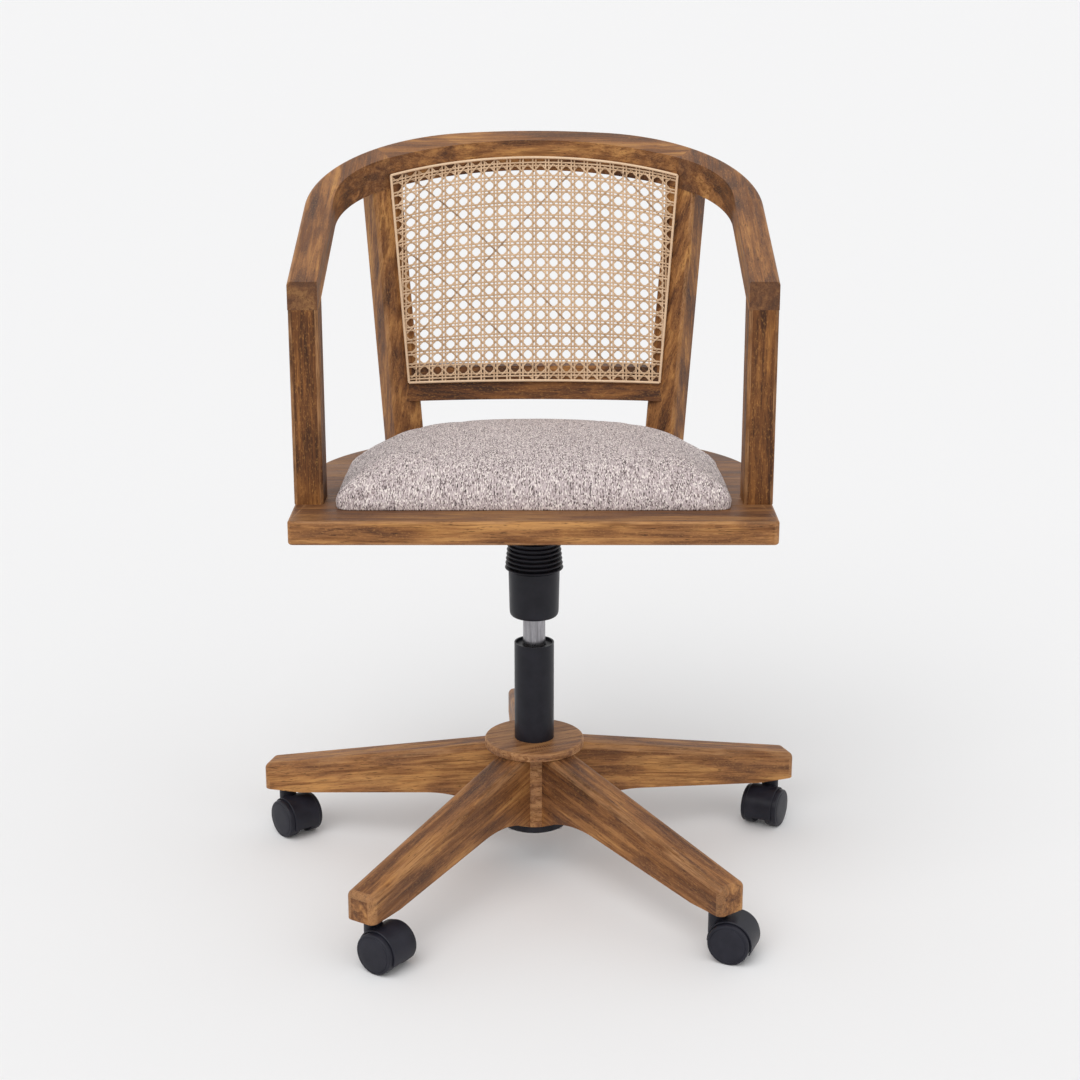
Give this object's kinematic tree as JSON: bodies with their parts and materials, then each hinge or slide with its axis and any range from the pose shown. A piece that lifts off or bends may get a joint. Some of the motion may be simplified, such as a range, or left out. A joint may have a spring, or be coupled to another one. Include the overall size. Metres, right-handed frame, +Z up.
{
  "type": "office chair",
  "caption": "Swivel office armchair: wooden bow arms and posts around a cane back, tweed cushion, gas lift with ribbed dust boot, wooden star base on twin-wheel casters.",
  "frame": {"origin": "on the floor, on the axis of the gas lift", "axes": "+Z up along the lift; the chair faces -Y; +X is the sitter's left"},
  "size_m": [0.7034, 0.7143, 0.905],
  "materials": {
    "seat_wood": "satin oiled brown hardwood",
    "base_wood": "satin oiled brown hardwood, worn at the edges",
    "pale_wood": "plain sanded",
    "cane": "open-weave straw cane",
    "tweed": "flecked tweed",
    "black_metal": "satin black powder coat",
    "black_plastic": "matte black",
    "wheel_plastic": "satin black",
    "black_rubber": "matte",
    "lift_steel": "dull brushed",
    "steel": "zinc plated"
  },
  "bodies": {
    "base": {"base_hub": "base_wood", "hub_plate": "black_metal", "hub_plate_screws": "steel", "leg_dowels": "pale_wood", "caster_stems": "steel", "outer_tube": "black_metal", "guide_bush": "black_plastic", "thrust_bearing": "steel", "bump_stop": "black_rubber", "base_leg_1": "base_wood", "base_leg_2": "base_wood", "base_leg_3": "base_wood", "base_leg_4": "base_wood", "base_leg_5": "base_wood"},
    "lift_rod": {"piston_rod": "steel", "retaining_clip": "steel"},
    "lever": {"release_lever": "steel", "lever_grip": "black_plastic"},
    "release_pin": {"release_pin": "steel"},
    "caster_1": {"caster_1_hood": "black_plastic", "caster_1_axle": "steel"},
    "caster_1_left": {"caster_1_left_wheel": "wheel_plastic"},
    "caster_1_right": {"caster_1_right_wheel": "wheel_plastic"},
    "caster_2": {"caster_2_hood": "black_plastic", "caster_2_axle": "steel"},
    "caster_2_left": {"caster_2_left_wheel": "wheel_plastic"},
    "caster_2_right": {"caster_2_right_wheel": "wheel_plastic"},
    "caster_3": {"caster_3_hood": "black_plastic", "caster_3_axle": "steel"},
    "caster_3_left": {"caster_3_left_wheel": "wheel_plastic"},
    "caster_3_right": {"caster_3_right_wheel": "wheel_plastic"},
    "caster_4": {"caster_4_hood": "black_plastic", "caster_4_axle": "steel"},
    "caster_4_left": {"caster_4_left_wheel": "wheel_plastic"},
    "caster_4_right": {"caster_4_right_wheel": "wheel_plastic"},
    "caster_5": {"caster_5_hood": "black_plastic", "caster_5_axle": "steel"},
    "caster_5_left": {"caster_5_left_wheel": "wheel_plastic"},
    "caster_5_right": {"caster_5_right_wheel": "wheel_plastic"},
    "seat": {"bow_crest": "seat_wood", "bow_dowels": "pale_wood", "bow_left_arm": "seat_wood", "bow_right_arm": "seat_wood", "cane_panel": "cane", "cane_spline": "cane", "cushion_base": "pale_wood", "cushion_screws": "steel", "dust_boot": "black_plastic", "gas_cylinder": "lift_steel", "left_arm_post": "seat_wood", "left_back_post": "seat_wood", "lower_back_rail": "seat_wood", "post_screws": "steel", "right_arm_post": "seat_wood", "right_back_post": "seat_wood", "seat_board": "seat_wood", "seat_cushion": "tweed", "seat_plate": "black_metal", "seat_plate_screws": "steel", "taper_socket": "black_metal"}
  },
  "joints": [
    {"name": "swivel", "type": "hinge", "parent": "base", "child": "lift_rod", "pos_m": [0, 0, 0.1], "axis": [0, 0, 1], "continuous": true},
    {"name": "seat_lift", "type": "slide", "parent": "lift_rod", "child": "seat", "axis": [0, 0, 1], "range_m": [-0.1, 0]},
    {"name": "lever_hinge", "type": "hinge", "parent": "seat", "child": "lever", "pos_m": [-0.045, 0, 0.4702], "axis": [0, 1, 0], "range_deg": [0, 4], "stiffness_Nm_per_rad": 3, "springref_deg": -4.58},
    {"name": "pin_press", "type": "slide", "parent": "seat", "child": "release_pin", "axis": [0, 0, 1], "range_m": [-0.0033, 0]},
    {"name": "caster_1_swivel", "type": "hinge", "parent": "base", "child": "caster_1", "pos_m": [-0.01785, 0.34053, 0.05], "axis": [0, 0, 1], "continuous": true},
    {"name": "caster_1_left_roll", "type": "hinge", "parent": "caster_1", "child": "caster_1_left", "pos_m": [-0.00019, 0.34992, 0.025], "axis": [-0.4695, 0.8829, 0], "continuous": true},
    {"name": "caster_1_right_roll", "type": "hinge", "parent": "caster_1", "child": "caster_1_right", "pos_m": [-0.00019, 0.34992, 0.025], "axis": [-0.4695, 0.8829, 0], "continuous": true},
    {"name": "caster_2_swivel", "type": "hinge", "parent": "base", "child": "caster_2", "pos_m": [-0.32938, 0.08826, 0.05], "axis": [0, 0, 1], "continuous": true},
    {"name": "caster_2_left_roll", "type": "hinge", "parent": "caster_2", "child": "caster_2_left", "pos_m": [-0.31653, 0.07294, 0.025], "axis": [0.766, 0.6428, 0], "continuous": true},
    {"name": "caster_2_right_roll", "type": "hinge", "parent": "caster_2", "child": "caster_2_right", "pos_m": [-0.31653, 0.07294, 0.025], "axis": [0.766, 0.6428, 0], "continuous": true},
    {"name": "caster_3_swivel", "type": "hinge", "parent": "base", "child": "caster_3", "pos_m": [-0.18572, -0.28599, 0.05], "axis": [0, 0, 1], "continuous": true},
    {"name": "caster_3_left_roll", "type": "hinge", "parent": "caster_3", "child": "caster_3_left", "pos_m": [-0.16954, -0.29774, 0.025], "axis": [0.5878, 0.809, 0], "continuous": true},
    {"name": "caster_3_right_roll", "type": "hinge", "parent": "caster_3", "child": "caster_3_right", "pos_m": [-0.16954, -0.29774, 0.025], "axis": [0.5878, 0.809, 0], "continuous": true},
    {"name": "caster_4_swivel", "type": "hinge", "parent": "base", "child": "caster_4", "pos_m": [0.2146, -0.26501, 0.05], "axis": [0, 0, 1], "continuous": true},
    {"name": "caster_4_left_roll", "type": "hinge", "parent": "caster_4", "child": "caster_4_left", "pos_m": [0.23314, -0.2725, 0.025], "axis": [0.3746, 0.9272, 0], "continuous": true},
    {"name": "caster_4_right_roll", "type": "hinge", "parent": "caster_4", "child": "caster_4_right", "pos_m": [0.23314, -0.2725, 0.025], "axis": [0.3746, 0.9272, 0], "continuous": true},
    {"name": "caster_5_swivel", "type": "hinge", "parent": "base", "child": "caster_5", "pos_m": [0.31835, 0.1222, 0.05], "axis": [0, 0, 1], "continuous": true},
    {"name": "caster_5_left_roll", "type": "hinge", "parent": "caster_5", "child": "caster_5_left", "pos_m": [0.30927, 0.10438, 0.025], "axis": [0.891, -0.454, 0], "continuous": true},
    {"name": "caster_5_right_roll", "type": "hinge", "parent": "caster_5", "child": "caster_5_right", "pos_m": [0.30927, 0.10438, 0.025], "axis": [0.891, -0.454, 0], "continuous": true}
  ],
  "couplings": [
    {"joint": "pin_press", "follows": "lever_hinge", "m_per_rad": -0.045}
  ]
}
